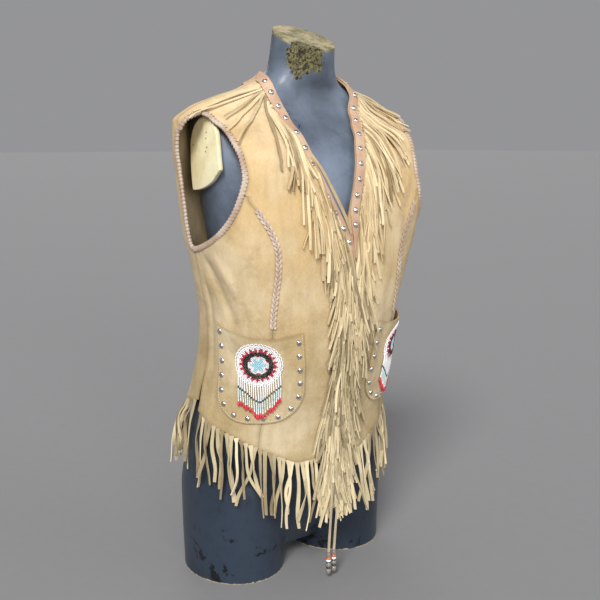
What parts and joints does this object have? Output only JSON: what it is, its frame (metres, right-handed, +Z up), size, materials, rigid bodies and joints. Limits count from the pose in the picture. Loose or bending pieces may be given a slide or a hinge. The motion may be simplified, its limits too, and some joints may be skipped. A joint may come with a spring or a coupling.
{
  "type": "fringed beaded vest on a torso dress form",
  "caption": "Fringed suede vest with beaded pocket rosettes, studded neck bands and laced armholes, on a limbless torso dress form that stands on its thigh ends.",
  "frame": {"origin": "on the floor, under the middle of the whole part's box; the two flat thigh ends are at z = 0", "axes": "+Z up, the wearer faces -Y, +X towards the wearer's left"},
  "size_m": [0.4118, 0.3078, 0.8302],
  "materials": {
    "suede": "matt golden tan suede, brushed nap",
    "fringe": "matt suede strips cut from the same hide",
    "band": "smooth pinkish tan leather with nickel studs",
    "lace": "pinkish whip-stitched thong",
    "beads": "opaque glass seed beads, sewn in rings",
    "tie": "matt suede thong",
    "tie_bead": "opaque glass and metal beads",
    "form": "worn slate blue paint on a hard shell",
    "plate": "cream flat plate"
  },
  "bodies": {
    "root": {"form_torso": "form", "form_arm_plate_r": "plate", "form_arm_plate_l": "plate", "back": "suede", "front_centre_r": "suede", "front_centre_l": "suede", "front_side_r": "suede", "front_side_l": "suede", "neck_band_r": "band", "neck_band_l": "band", "neck_band_back": "band", "armhole_binding_r": "lace", "armhole_binding_l": "lace", "seam_lacing_r": "lace", "seam_lacing_l": "lace", "pocket_r": "suede", "pocket_l": "suede", "rosette_r": "beads", "rosette_l": "beads", "front_fringe_r": "fringe", "front_fringe_l": "fringe", "hem_fringe_r": "fringe", "hem_fringe_l": "fringe", "hem_fringe_back": "fringe", "tie_thong_r": "tie", "tie_thong_l": "tie", "tie_beads_r": "tie_bead", "tie_beads_l": "tie_bead"}
  },
  "joints": []
}
